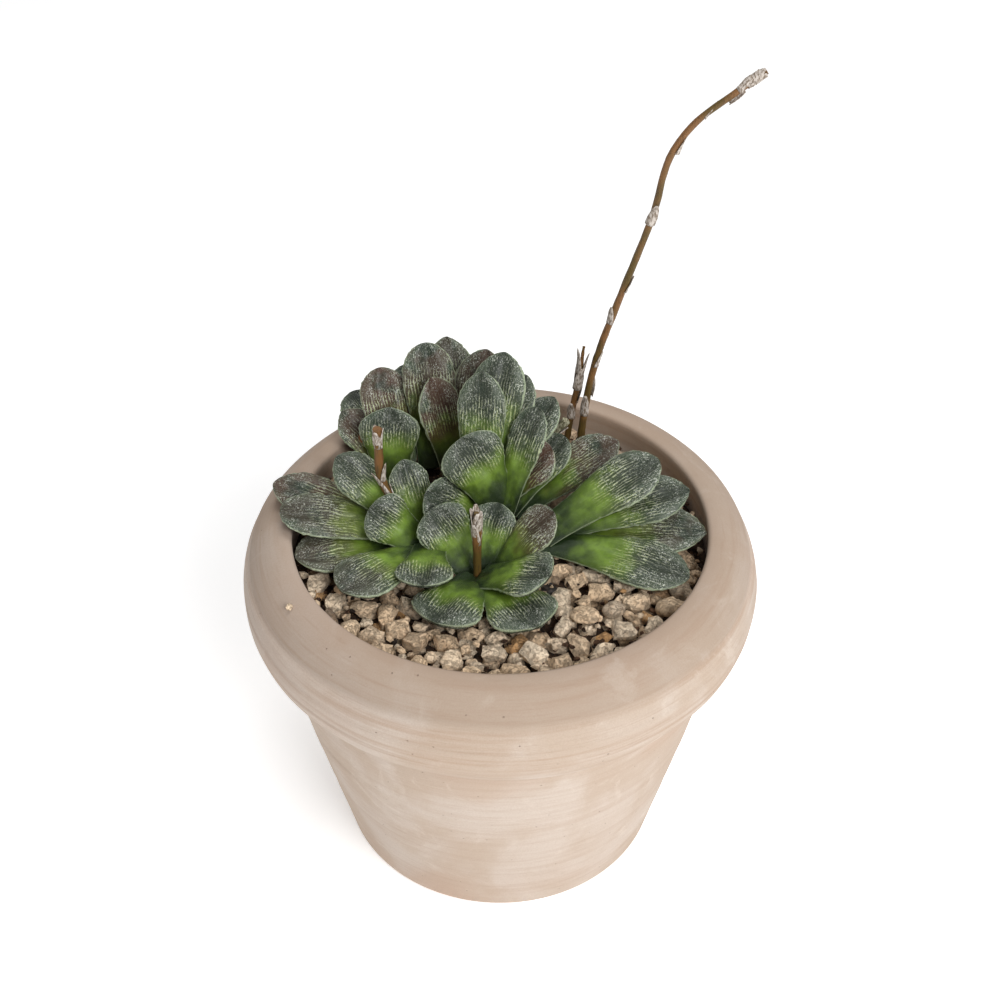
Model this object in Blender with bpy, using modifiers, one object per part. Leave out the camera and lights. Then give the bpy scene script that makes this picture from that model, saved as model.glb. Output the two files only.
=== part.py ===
"""A clump of window-leaved succulents in a terracotta pot with a rolled collar.

Z is up, the pot stands on z = 0 with its axis on the Z axis, and the front of the plant faces -Y.
The plant is six crowns of thick leaves.  Every leaf, stem and dried flower stalk is one piece.
"""
import math

import bmesh
import bpy
import numpy as np

MM = 0.001

# ---------------------------------------------------------------- pot
POT_HEIGHT = 106.6 * MM
BASE_RADIUS = 46.8 * MM
COLLAR_RADIUS = 70.5 * MM           # widest place of the rolled collar
COLLAR_WIDEST_HEIGHT = POT_HEIGHT - 17.1 * MM
COLLAR_BOTTOM_HEIGHT = POT_HEIGHT - 30.1 * MM
COLLAR_STEP = 1.0 * MM              # how far the collar stands out from the body below it
LIP_RADIUS = 56.0 * MM              # inner edge of the mouth
LIP_BACK = 1.09 * MM                # how far the lip leans back over the mouth from the collar's middle
WALL = 8.0 * MM
FLOOR = 9.0 * MM
DRAIN_RADIUS = 6.5 * MM
EDGE = 1.2 * MM                     # small chamfers at the foot and around the drain hole
ROUND_STEPS = 48

# ---------------------------------------------------------------- filling
GAP = 0.3 * MM                      # clearance between separate pieces
SOIL_TOP = POT_HEIGHT - 20.6 * MM
GRAVEL_TOP = POT_HEIGHT - 9.1 * MM
STEM_RADIUS = 3.2 * MM
STEM_TOP = GRAVEL_TOP - 1.2 * MM
STEM_SIDES = 12

# ---------------------------------------------------------------- leaves
LEAF_RINGS = 9
LEAF_SIDES = 8
LEAF_BASE_SHARE = 0.42              # width of the narrow base as a share of the widest place
LEAF_BASE_DEPTH = 0.50              # thickness of the base as a share of the thickest place
LEAF_WIDEST = 0.68                  # where along the leaf it is widest
LEAF_ABOVE = 0.12                   # thickness over the margins as a share of the width
LEAF_BELOW = 0.21                   # depth of the keel under the margins as a share of the width
LEAF_ARCH = 0.045                   # how far the middle bows towards the inner face, per length
LEAF_START = 2.0 * MM               # distance of an upright leaf's base from the middle of its crown
LEAF_START_FLAT = 5.0 * MM          # how much further out the base of a flat lying leaf is
LEAF_START_RISE = 4.0 * MM          # how much higher the base of an upright leaf is
LEAF_SCALE = 1.0                    # all leaves together
LEAF_ROOM = 0.35 * MM               # room kept around every leaf
SPACING_SWEEPS = 400
HOME_PULL = 0.1                     # share of the way back to its place that a leaf is drawn per sweep
SPACING_STEP = 0.3                  # share of an overlap taken up by each of the two leaves per sweep

# Crown: its middle as x, y and height above the gravel, in millimetres.
CROWNS = {
    "rear": (-15, 32, 0.5),
    "far": (-28, 27, 0.5),
    "mid": (2, 14, 1.5),
    "left": (-20, -2, 0.5),
    "front": (-5, -13, 0.5),
    "right": (12, 2, 0.5),
}

# Crown: its leaves, each as heading (from +X, turning left), rise, roll, reach from the crown, width.
# Angles are in degrees and sizes in millimetres.
LEAVES = {
    "rear": [
        (95, 56, 0, 37, 15), (98, 68, 5, 35, 15), (142, 76, -10, 30, 14), (68, 66, 0, 36, 15),
        (75, 36, 0, 30, 15), (35, 38, 0, 26, 14), (105, 42, 0, 24, 14),
    ],
    "far": [
        (84, 50, 0, 33, 13), (112, 60, -5, 30, 14), (152, 44, -15, 25, 12), (92, 72, -5, 22, 17),
        (125, 28, 0, 26, 14),
    ],
    "mid": [
        (86, 71, 0, 36, 13), (72, 62, 0, 37, 15), (58, 50, 0, 32, 12), (42, 42, 0, 31, 13),
        (52, 62, 0, 31, 11), (122, 56, 0, 28, 11), (165, 62, -50, 23, 18), (195, 44, -45, 26, 16),
        (8, 50, 25, 22, 14), (32, 44, 10, 26, 12), (16, 31, 20, 36, 14),
    ],
    "left": [
        (120, 60, -10, 23, 11), (178, 44, -45, 20, 14), (158, 42, -20, 28, 13), (170, 20, -15, 41, 14),
        (-174, 17, -15, 40, 14), (-155, 12, -5, 32, 15), (-132, 10, 0, 33, 17), (-93, 14, 0, 24, 15),
    ],
    "front": [
        (-117, 12, 0, 26, 19), (-60, 9, 0, 27, 19), (-34, 28, 10, 25, 16), (150, 52, -30, 21, 15),
        (60, 58, 10, 19, 12), (12, 50, 15, 25, 13),
    ],
    "right": [
        (16, 30, 20, 38, 15), (5, 17, 25, 41, 14), (-12, 8, 20, 43, 15), (-27, 5, 15, 43, 15),
    ],
}

# ---------------------------------------------------------------- stalks
STALK_SIDES = 8
# Stalk: places along its middle from root to tip, each as x, y, height above the
# gravel and thickness in millimetres.
STALKS = {
    "flower_stalk_tall": [
        (23, 40, 0.7, 2.4), (23.5, 40, 7.5, 2.4), (24, 40, 14.5, 2.3), (25, 40, 21.5, 2.2),
        (26.5, 40, 32.5, 2.1), (31, 40, 49.5, 2.0), (34.5, 40, 60.5, 1.9), (39.5, 40, 78.5, 1.8),
        (41.5, 40, 91.5, 1.7), (45, 40, 100.5, 1.6), (52.5, 40, 109.5, 1.5), (61, 40, 116.5, 1.6),
        (63.5, 40, 119.5, 2.8), (66.5, 40, 121.5, 1.6),
    ],
    "flower_stalk_short": [
        (19, 44, 0.7, 2.2), (19.5, 44, 8.5, 2.1), (20, 44, 16.5, 2.0), (21.5, 44, 26.5, 2.2),
        (22.7, 44, 33.5, 2.9), (23.5, 44, 39.5, 1.8),
    ],
    "stalk_stump_left": [
        (-21, -0.5, 0.7, 2.2), (-28, 3, 11.5, 2.4), (-32, 5, 19.5, 2.6), (-32, 5, 39.5, 3.0),
    ],
    "stalk_stump_front": [
        (-6, -13.5, 0.7, 2.2), (-6.5, -14, 6.5, 2.4), (-6.5, -14, 13.5, 2.7), (-6, -14, 20.5, 2.8),
        (-6, -14, 24.5, 2.2),
    ],
    "stalk_stub_mid": [
        (9, 20, 2.5, 2.2), (10.5, 24, 9.5, 2.4), (12, 26, 14.5, 2.7), (15.5, 26, 19.5, 3.2),
        (18.5, 26, 23.5, 2.8),
    ],
}

# ---------------------------------------------------------------- loose pieces on the gravel
# Pebble: x, y, length, width, thickness in millimetres and its turn in degrees.
PEBBLES = {
    "pebble_flat_oval": (22, -29, 9, 7, 3.4, -8),
    "pebble_speckled": (29.5, -27.5, 7, 6, 4.5, 30),
}
PEBBLE_SIDES = 10
PEBBLE_RINGS = 6
# Dead leaf: x, y, length, width, thickness in millimetres and its turn in degrees.
DEAD_LEAF = (14, -20, 11, 5, 1.6, -62)


def fresh_collection(name):
    """An empty collection of this name in the scene."""
    for thing in list(bpy.data.objects):
        bpy.data.objects.remove(thing, do_unlink=True)
    group = bpy.data.collections.new(name)
    bpy.context.scene.collection.children.link(group)
    return group


PLANT = fresh_collection("potted_succulent")
CUTTERS = bpy.data.collections.new("cutters")
bpy.context.scene.collection.children.link(CUTTERS)


def material(name, colour, roughness):
    """A plain surface of one colour."""
    surface = bpy.data.materials.new(name)
    surface.use_nodes = True
    shader = surface.node_tree.nodes["Principled BSDF"]
    shader.inputs["Base Color"].default_value = (*colour, 1.0)
    shader.inputs["Roughness"].default_value = roughness
    shader.inputs["Metallic"].default_value = 0.0
    return surface


def add_object(name, mesh, colour, roughness):
    """Puts a mesh in the plant's collection as a named object with its own surface."""
    thing = bpy.data.objects.new(name, mesh)
    mesh.materials.append(material(name, colour, roughness))
    PLANT.objects.link(thing)
    return thing


def turned(name, outline, colour, roughness):
    """A solid of revolution about Z from a closed outline of (radius, height), outer side downwards."""
    mesh = bpy.data.meshes.new(name)
    corners = [(radius, 0.0, height) for radius, height in outline]
    edges = [(i, (i + 1) % len(outline)) for i in range(len(outline))]
    mesh.from_pydata(corners, edges, [])
    thing = add_object(name, mesh, colour, roughness)
    screw = thing.modifiers.new("turn", "SCREW")
    screw.axis = "Z"
    screw.steps = ROUND_STEPS
    screw.render_steps = ROUND_STEPS
    screw.use_merge_vertices = True
    screw.merge_threshold = 0.00001
    return thing


# ---------------------------------------------------------------- the pot
COLLAR_BOTTOM_RADIUS = COLLAR_RADIUS - 6.2 * MM


def outer_radius(height):
    """Outer radius of the plain tapering body, carried on up inside the collar."""
    top = COLLAR_BOTTOM_RADIUS - COLLAR_STEP
    return BASE_RADIUS + (top - BASE_RADIUS) * height / COLLAR_BOTTOM_HEIGHT


def inner_radius(height):
    """Inner radius of the pot: a wall's thickness inside the body, then straight up to the lip."""
    return min(outer_radius(height) - WALL, LIP_RADIUS + 0.8 * MM)


def collar_outline():
    """The rolled collar from the inner lip over the top and down to its bottom edge."""
    reach = COLLAR_RADIUS - LIP_RADIUS - 2 * MM
    middle = COLLAR_RADIUS - reach
    rise = POT_HEIGHT - COLLAR_WIDEST_HEIGHT
    drop = (COLLAR_WIDEST_HEIGHT - COLLAR_BOTTOM_HEIGHT) / math.sin(math.radians(60))
    outline = [(LIP_RADIUS, POT_HEIGHT - 0.5 * MM)]
    lip = math.degrees(math.acos(-LIP_BACK / reach))
    for degrees in (lip, 78, 62, 46, 30, 15, 0, -15, -30, -45, -60):
        angle = math.radians(degrees)
        tall = rise if degrees > 0 else drop
        outline.append((middle + reach * math.cos(angle), COLLAR_WIDEST_HEIGHT + tall * math.sin(angle)))
    return outline


pot_outline = collar_outline() + [
    (outer_radius(COLLAR_BOTTOM_HEIGHT - EDGE), COLLAR_BOTTOM_HEIGHT - EDGE),
    (outer_radius(EDGE), EDGE),
    (BASE_RADIUS - EDGE, 0.0),
    (DRAIN_RADIUS + EDGE, 0.0),
    (DRAIN_RADIUS, EDGE),
    (DRAIN_RADIUS, FLOOR - EDGE),
    (DRAIN_RADIUS + EDGE, FLOOR),
    (inner_radius(FLOOR) - 3 * MM, FLOOR),
    (inner_radius(FLOOR + 3 * MM), FLOOR + 3 * MM),
    (inner_radius(SOIL_TOP), SOIL_TOP),
    (inner_radius(POT_HEIGHT), GRAVEL_TOP),
]
pot = turned("pot", pot_outline, (0.62, 0.47, 0.38), 0.85)

# ---------------------------------------------------------------- soil and gravel
soil_outline = [
    (0.0, SOIL_TOP),
    (inner_radius(SOIL_TOP) - GAP, SOIL_TOP),
    (inner_radius(FLOOR + 3 * MM) - GAP, FLOOR + 3 * MM + GAP),
    (inner_radius(FLOOR) - 3 * MM - GAP, FLOOR + GAP),
    (0.0, FLOOR + GAP),
]
soil = turned("potting_soil", soil_outline, (0.05, 0.035, 0.022), 0.95)

gravel_bottom = SOIL_TOP + GAP
gravel_outline = [
    (0.0, GRAVEL_TOP),
    (inner_radius(POT_HEIGHT) - GAP, GRAVEL_TOP),
    (inner_radius(SOIL_TOP) - GAP, gravel_bottom),
    (0.0, gravel_bottom),
]
gravel = turned("gravel_layer", gravel_outline, (0.48, 0.36, 0.25), 0.9)


def stem_hole(x, y):
    """A round cutter for one stem through the gravel."""
    bpy.ops.mesh.primitive_cylinder_add(
        vertices=STEM_SIDES, radius=STEM_RADIUS + GAP, depth=GRAVEL_TOP, location=(x, y, GRAVEL_TOP)
    )
    cutter = bpy.context.object
    for group in list(cutter.users_collection):
        group.objects.unlink(cutter)
    CUTTERS.objects.link(cutter)
    cutter.hide_render = True
    cutter.display_type = "WIRE"
    cut = gravel.modifiers.new("stem hole", "BOOLEAN")
    cut.solver = "EXACT"
    cut.operation = "DIFFERENCE"
    cut.object = cutter


# ---------------------------------------------------------------- stems
for crown, (x, y, _) in CROWNS.items():
    stem_hole(x * MM, y * MM)
    stem_bottom = gravel_bottom
    bpy.ops.mesh.primitive_cone_add(
        vertices=STEM_SIDES,
        radius1=STEM_RADIUS,
        radius2=STEM_RADIUS * 0.8,
        depth=STEM_TOP - stem_bottom,
        location=(x * MM, y * MM, (STEM_TOP + stem_bottom) / 2),
    )
    stem = bpy.context.object
    stem.name = "stem_" + crown
    stem.data.materials.append(material(stem.name, (0.20, 0.16, 0.08), 0.8))
    for group in list(stem.users_collection):
        group.objects.unlink(stem)
    PLANT.objects.link(stem)


# ---------------------------------------------------------------- leaf shape
def eased(value):
    """Smooth step from 0 to 1."""
    value = np.clip(value, 0.0, 1.0)
    return value * value * (3 - 2 * value)


def rounded_end(value):
    """1 falling to 0 like a rounded tip."""
    return np.sqrt(np.clip(1 - np.clip(value, 0.0, 1.0) ** 2.2, 0.0, 1.0))


def width_share(along):
    """Width at a place along the leaf: narrow base, broad shoulder, rounded tip."""
    grown = LEAF_BASE_SHARE + (1 - LEAF_BASE_SHARE) * eased(along / LEAF_WIDEST)
    return np.where(along < LEAF_WIDEST, grown, rounded_end((along - LEAF_WIDEST) / (1 - LEAF_WIDEST)))


def depth_share(along):
    """Thickness at a place along the leaf."""
    grown = LEAF_BASE_DEPTH + (1 - LEAF_BASE_DEPTH) * eased(along * 2)
    return np.where(along < 0.5, grown, rounded_end(along * 2 - 1))


class Leaf:
    """One leaf: base point, the three directions along, across and inwards, length and width."""

    def __init__(self, name, crown, heading, rise, roll, reach, width):
        turn, lift, tilt = (math.radians(angle) for angle in (heading, rise, roll))
        outwards = np.array([math.cos(turn), math.sin(turn), 0.0])
        self.name = name
        self.turn, self.lift, self.tilt = turn, lift, tilt
        start = LEAF_START + LEAF_START_FLAT * math.cos(lift)
        self.length = (reach * MM - start) * LEAF_SCALE
        self.width = width * MM * LEAF_SCALE
        self.base = np.array(CROWNS[crown]) * MM + outwards * start + [0.0, 0.0, GRAVEL_TOP]
        self.base[2] += LEAF_START_RISE * math.sin(lift)
        self.along = outwards * math.cos(lift) + np.array([0.0, 0.0, math.sin(lift)])
        level = np.array([-math.sin(turn), math.cos(turn), 0.0])
        upper = np.cross(self.along, level)
        self.across = level * math.cos(tilt) + upper * math.sin(tilt)
        self.axes = np.stack([self.along, self.across, np.cross(self.along, self.across)])

    def section(self, share, angle, room=0.0):
        """A point of the leaf in its own directions, at a share of its length and an angle around it."""
        bow = LEAF_ARCH * self.length * np.sin(math.pi * share)
        depth = np.where(np.sin(angle) > 0, LEAF_ABOVE, LEAF_BELOW) * self.width * depth_share(share)
        half = self.width / 2 * width_share(share)
        return np.stack([
            self.length * share,
            np.cos(angle) * (half + room),
            bow + np.sin(angle) * (depth + room),
        ], axis=-1)

    def skin(self, rings, sides):
        """Points all over the leaf, measured from its base along the world's directions."""
        share = (1 - np.cos(math.pi * np.arange(rings + 1) / rings)) / 2
        angle = 2 * math.pi * np.arange(sides) / sides
        share, angle = np.meshgrid(share, angle, indexing="ij")
        return self.section(share.ravel(), angle.ravel()) @ self.axes


leaves = []
for crown, rows in LEAVES.items():
    for number, row in enumerate(rows, 1):
        leaves.append(Leaf(f"leaf_{crown}_{number:02d}", crown, *row))


# ---------------------------------------------------------------- leaf spacing
def stalk_points():
    """Close-set points along the middle of every stalk, each with the stalk's thickness there."""
    found = []
    for places in STALKS.values():
        places = np.array(places) * MM + [0.0, 0.0, GRAVEL_TOP, 0.0]
        marks = np.arange(len(places))
        fine = np.linspace(0, len(places) - 1, 8 * len(places))
        found.append(np.stack([np.interp(fine, marks, places[:, column]) for column in range(4)], axis=-1))
    return np.concatenate(found)


def push_out(points, axes, length, width, room, all_vote=True):
    """Moves that bring groups of points clear of a leaf each; the points are measured from its base.

    They leave by the face where most of the points lie, or most of the points inside if not all vote.
    """
    local = np.einsum("gpc,gdc->gpd", points, axes)
    length, width = length[:, None], width[:, None]
    share = local[..., 0] / length
    held = np.clip(share, 0.01, 0.99)
    off = local[..., 2] - LEAF_ARCH * length * np.sin(math.pi * held)
    half = width / 2 * width_share(held) + room
    above = LEAF_ABOVE * width * depth_share(held) + room
    below = LEAF_BELOW * width * depth_share(held) + room
    sideways = (local[..., 1] / half) ** 2
    end = room / length
    inside = (share > -end) & (share < 1 + end)
    inside &= sideways + (off / np.where(off > 0, above, below)) ** 2 < 1
    chord = np.sqrt(np.clip(1 - sideways, 0, 1))
    over = np.where(inside | all_vote, off, 0).sum(axis=1) > 0
    up = np.max(np.where(inside, above * chord - off, 0), axis=1)
    down = np.max(np.where(inside, below * chord + off, 0), axis=1)
    distance = np.where(over, up, -down)
    return axes[:, 2] * distance[:, None], inside.any(axis=1)


def clear_of_pot(points):
    """The move that lifts points off the gravel and keeps them inside, or above, the lip of the pot."""
    move = np.array([0.0, 0.0, max(0.0, GRAVEL_TOP + GAP - points[:, 2].min())])
    radius = np.hypot(points[:, 0], points[:, 1])
    out = radius - (LIP_RADIUS - LEAF_ROOM)
    low = POT_HEIGHT + LEAF_ROOM - points[:, 2]
    caught = (out > 0) & (low > 0)
    if caught.any():
        if out[caught].max() < low[caught].max():
            worst = points[np.argmax(np.where(caught, out, 0))]
            move[:2] -= worst[:2] / np.hypot(*worst[:2]) * out[caught].max()
        else:
            move[2] += low[caught].max()
    return move


def space_out(leaves):
    """Moves touching leaves apart a little at a time until each has room around it."""
    skins = np.stack([leaf.skin(12, 12) for leaf in leaves])
    bases = np.stack([leaf.base for leaf in leaves])
    axes = np.stack([leaf.axes for leaf in leaves])
    length = np.array([leaf.length for leaf in leaves])
    width = np.array([leaf.width for leaf in leaves])
    homes = bases.copy()
    stalks = stalk_points()
    rooms = stalks[:, 3] / 2 + LEAF_ROOM
    everyone = range(len(leaves))
    for sweep in range(SPACING_SWEEPS):
        if sweep % 20 == 0:
            middles = bases + skins.mean(axis=1)
            pairs = [
                (i, j) for i in everyone for j in everyone
                if i != j
                and np.linalg.norm(middles[i] - middles[j]) < 0.4 * (length[i] + length[j]) + 12 * MM
            ]
            first, second = np.array(pairs).T
        moves = np.stack([clear_of_pot(base + skin) for base, skin in zip(bases, skins)])
        points = skins[first] + (bases[first] - bases[second])[:, None]
        push, touching = push_out(points, axes[second], length[second], width[second], LEAF_ROOM)
        np.add.at(moves, first, push * SPACING_STEP)
        np.add.at(moves, second, -push * SPACING_STEP)
        from_stalks = stalks[None, :, :3] - bases[:, None]
        push, near_stalk = push_out(from_stalks, axes, length, width, rooms, all_vote=False)
        moves -= push * SPACING_STEP * 2
        if sweep < SPACING_SWEEPS / 2:
            moves += (homes - bases) * HOME_PULL
        bases += np.clip(moves, -MM, MM)
        if sweep > SPACING_SWEEPS / 2 and not touching.any() and not near_stalk.any():
            break
    for leaf, base, skin in zip(leaves, bases, skins):
        leaf.base = base + clear_of_pot(base + skin)


def leaf_mesh(leaf):
    """The closed skin of one leaf, drawn in its own directions."""
    body = bmesh.new()
    bmesh.ops.create_uvsphere(body, u_segments=LEAF_SIDES, v_segments=LEAF_RINGS, radius=1.0)
    for corner in body.verts:
        share = (1 - corner.co.z) / 2
        angle = math.atan2(corner.co.y, corner.co.x)
        if share < 0.001 or share > 0.999:
            corner.co = (leaf.length * round(share), 0.0, 0.0)
        else:
            corner.co = leaf.section(np.array(share), np.array(angle))
    body.normal_update()
    bmesh.ops.recalc_face_normals(body, faces=body.faces)
    mesh = bpy.data.meshes.new(leaf.name)
    body.to_mesh(mesh)
    body.free()
    mesh.shade_smooth()
    return mesh


space_out(leaves)
for leaf in leaves:
    thing = add_object(leaf.name, leaf_mesh(leaf), (0.10, 0.16, 0.05), 0.55)
    thing.rotation_euler = (leaf.tilt, -leaf.lift, leaf.turn)
    thing.location = leaf.base


# ---------------------------------------------------------------- stalks
def stalk(name, places):
    """A thin stalk along its places, closed at both ends."""
    curve = bpy.data.curves.new(name, "CURVE")
    curve.dimensions = "3D"
    curve.bevel_depth = MM
    curve.bevel_resolution = (STALK_SIDES - 4) // 2
    curve.use_fill_caps = True
    curve.resolution_u = 1
    line = curve.splines.new("POLY")
    line.points.add(len(places) - 1)
    for point, (x, y, z, thick) in zip(line.points, places):
        point.co = (x * MM, y * MM, GRAVEL_TOP + z * MM, 1.0)
        point.radius = thick / 2
    thing = bpy.data.objects.new(name, curve)
    curve.materials.append(material(name, (0.22, 0.16, 0.09), 0.8))
    PLANT.objects.link(thing)
    return thing


for name, places in STALKS.items():
    stalk(name, places)


# ---------------------------------------------------------------- loose pieces
def pebble(name, x, y, length, width, thick, turn, colour):
    """A rounded stone lying on the gravel."""
    bpy.ops.mesh.primitive_uv_sphere_add(segments=PEBBLE_SIDES, ring_count=PEBBLE_RINGS, radius=0.5)
    stone = bpy.context.object
    stone.name = name
    stone.scale = (length * MM, width * MM, thick * MM)
    bpy.ops.object.transform_apply(location=False, rotation=False, scale=True)
    stone.location = (x * MM, y * MM, GRAVEL_TOP + GAP + thick * MM / 2)
    stone.rotation_euler = (0.0, 0.0, math.radians(turn))
    stone.data.materials.append(material(name, colour, 0.85))
    stone.data.shade_smooth()
    for group in list(stone.users_collection):
        group.objects.unlink(stone)
    PLANT.objects.link(stone)


for name, sizes in PEBBLES.items():
    pebble(name, *sizes, (0.58, 0.46, 0.34))
pebble("dead_leaf", *DEAD_LEAF, (0.02, 0.018, 0.015))
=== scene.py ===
import math

import bmesh
import bpy
import numpy as np
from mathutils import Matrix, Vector, noise
from mathutils.bvhtree import BVHTree


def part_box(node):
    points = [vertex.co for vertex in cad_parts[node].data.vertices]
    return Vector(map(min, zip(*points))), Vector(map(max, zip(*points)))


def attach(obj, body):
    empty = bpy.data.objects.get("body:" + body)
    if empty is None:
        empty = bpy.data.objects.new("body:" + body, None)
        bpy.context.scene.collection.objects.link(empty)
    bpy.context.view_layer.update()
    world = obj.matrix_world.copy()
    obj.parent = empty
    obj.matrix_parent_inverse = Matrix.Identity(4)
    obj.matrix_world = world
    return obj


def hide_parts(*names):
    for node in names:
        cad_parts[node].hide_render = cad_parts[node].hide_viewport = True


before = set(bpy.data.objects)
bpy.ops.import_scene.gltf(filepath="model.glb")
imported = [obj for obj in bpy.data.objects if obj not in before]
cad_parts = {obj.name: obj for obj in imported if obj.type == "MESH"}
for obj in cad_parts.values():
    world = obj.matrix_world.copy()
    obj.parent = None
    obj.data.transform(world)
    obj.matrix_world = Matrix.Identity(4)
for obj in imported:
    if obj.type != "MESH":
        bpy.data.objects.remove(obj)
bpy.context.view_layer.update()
MM = 0.001


# ---------------------------------------------------------------- clay pot
# A wheel-turned pot of unglazed sandy clay with a thick rolled collar and a drain hole in its
# floor. Turning has left fine rings all round it, and a few deeper scratches run part of the way
# round the collar.

# Sizes are in millimetres here and below. The collar's round section: its middle and reach, its
# widest height, and how far it rises and drops from there.
COLLAR_MIDDLE, COLLAR_REACH = 58.0, 12.4
COLLAR_WIDEST, COLLAR_RISE, COLLAR_DROP = 89.5, 17.1, 15.0
COLLAR_FOOT = 76.5
BODY_TOP_RADIUS, FOOT_RADIUS = 63.2, 46.8
# Stretches of the outline that turning hasn't marked, each place a radius and a height.
LIP_INSIDE = [(56.8, 97.5), (56.4, 101), (56.0, 104), (55.9, 105.4), (56.2, 106.2)]
UNDER_COLLAR = [(63.4, 76.0)]
FOOT_EDGE = [(46.2, 0.25), (45.4, 0.0), (30, 0.0)]
DRAIN_HOLE = [(8.2, 0.0), (7.0, 0.4), (6.5, 1.4), (6.5, 7.6), (7.0, 8.6), (8.0, 9.0)]
INNER_WALL = [(38, 9.0), (41, 12.0), (56.0, 84.0), (56.8, 87.0), (56.8, 97.5)]
POT_STEPS = 192
# Grooves all round the collar: height, depth and half width.
GROOVES = ((98.4, 0.5, 0.9), (93, 0.28, 0.4))
# Scratches part of the way round it: height, depth, half width and where they start.
SCRATCHES = (
    (86.6, 0.30, 0.35, 3.6), (92.6, 0.22, 0.28, 5.2),
    (93.8, 0.34, 0.30, 4.5), (99.6, 0.16, 0.4, 1.0),
)
# Beyond this radius and height is the collar's outer face, and beyond the next the uneven outside.
COLLAR_FACE_RADIUS, COLLAR_FACE_HEIGHT = 59.5, 76
UNEVEN_RADIUS, UNEVEN_HEIGHT, UNEVEN_DEPTH = 57.5, 0.5, 0.22


def colour(red, green, blue):
    """A colour from its usual 0 to 255 values, as the light values a shader takes."""
    shares = [value / 255 for value in (red, green, blue)]
    return (*[s / 12.92 if s < 0.04 else ((s + 0.055) / 1.055) ** 2.4 for s in shares], 1.0)


def finish(name, roughness):
    """A new surface finish: the finish itself, its nodes and its shader."""
    made = bpy.data.materials.new(name)
    made.use_nodes = True
    shader = made.node_tree.nodes["Principled BSDF"]
    shader.inputs["Roughness"].default_value = roughness
    return made, made.node_tree, shader


def plug(tree, socket, value):
    """Joins a value that comes from another node, or sets a plain one."""
    if isinstance(value, bpy.types.NodeSocket):
        tree.links.new(value, socket)
    else:
        socket.default_value = value


def place(tree, stretch=(1, 1, 1), name=None, shift=(0, 0, 0)):
    """Where a point of the piece lies in millimetres, or what its attribute says, stretched."""
    if name:
        start = tree.nodes.new("ShaderNodeAttribute")
        start.attribute_name = name
        socket = start.outputs["Vector"]
        scale = 1
    else:
        socket = tree.nodes.new("ShaderNodeTexCoord").outputs["Object"]
        scale = 1000
    mapping = tree.nodes.new("ShaderNodeMapping")
    tree.links.new(socket, mapping.inputs["Vector"])
    mapping.inputs["Scale"].default_value = [scale * s for s in stretch]
    mapping.inputs["Location"].default_value = shift
    return mapping.outputs["Vector"]


def grain(tree, where, scale, detail=3.0, rough=0.55, twist=0.0):
    """Soft random grain, 0 to 1."""
    node = tree.nodes.new("ShaderNodeTexNoise")
    tree.links.new(where, node.inputs["Vector"])
    node.inputs["Scale"].default_value = scale
    node.inputs["Detail"].default_value = detail
    node.inputs["Roughness"].default_value = rough
    node.inputs["Distortion"].default_value = twist
    return node.outputs["Fac"]


def cells(tree, where, scale):
    """Distance from the middles of scattered cells."""
    node = tree.nodes.new("ShaderNodeTexVoronoi")
    tree.links.new(where, node.inputs["Vector"])
    node.inputs["Scale"].default_value = scale
    return node.outputs["Distance"]


def between(tree, value, low, high, start=0.0, end=1.0):
    """Eases from start to end as the value goes from low to high."""
    node = tree.nodes.new("ShaderNodeMapRange")
    node.interpolation_type = "SMOOTHSTEP"
    for socket, number in zip(node.inputs, (value, low, high, start, end)):
        plug(tree, socket, number)
    return node.outputs[0]


def sums(tree, kind, first, second=0.5):
    """One sum of two values, or of the first alone where the kind takes one."""
    node = tree.nodes.new("ShaderNodeMath")
    node.operation = kind
    plug(tree, node.inputs[0], first)
    plug(tree, node.inputs[1], second)
    return node.outputs[0]


def times(tree, first, second):
    """One value times another."""
    return sums(tree, "MULTIPLY", first, second)


def blend(tree, share, first, second):
    """A share of the second colour over the first."""
    node = tree.nodes.new("ShaderNodeMix")
    node.data_type = "RGBA"
    plug(tree, node.inputs[0], share)
    plug(tree, node.inputs[6], first)
    plug(tree, node.inputs[7], second)
    return node.outputs[2]


def relief(tree, height, depth, strength, below=None):
    """Fine surface relief from a height, its depth in millimetres, over the relief below it."""
    node = tree.nodes.new("ShaderNodeBump")
    node.inputs["Strength"].default_value = strength
    node.inputs["Distance"].default_value = depth * MM
    tree.links.new(height, node.inputs["Height"])
    if below is not None:
        tree.links.new(below, node.inputs["Normal"])
    return node.outputs["Normal"]


def part_of(tree, where, axis):
    """One of the three numbers of a place."""
    node = tree.nodes.new("ShaderNodeSeparateXYZ")
    tree.links.new(where, node.inputs[0])
    return node.outputs[axis]


def nothing_selected():
    """Leaves no object selected."""
    if bpy.context.object and bpy.context.object.mode == "EDIT":
        bpy.ops.object.mode_set(mode="OBJECT")
    bpy.ops.object.select_all(action="DESELECT")


def only(thing):
    """Selects one object and makes it the active one."""
    nothing_selected()
    thing.select_set(True)
    bpy.context.view_layer.objects.active = thing


BUFF, PALE_BUFF, PINK_BUFF = colour(200, 181, 163), colour(213, 199, 186), colour(200, 169, 148)
BAND_BROWN, RING_BROWN = colour(184, 156, 134), colour(168, 136, 112)
SAND_BROWN, PIT_BROWN = colour(158, 126, 104), colour(112, 82, 64)
# The second colour below is painted shade for the top of the collar and the lip.
LIME_BLOOM, PAINTED_LIP_SHADE = colour(224, 211, 198), colour(158, 137, 119)

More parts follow.
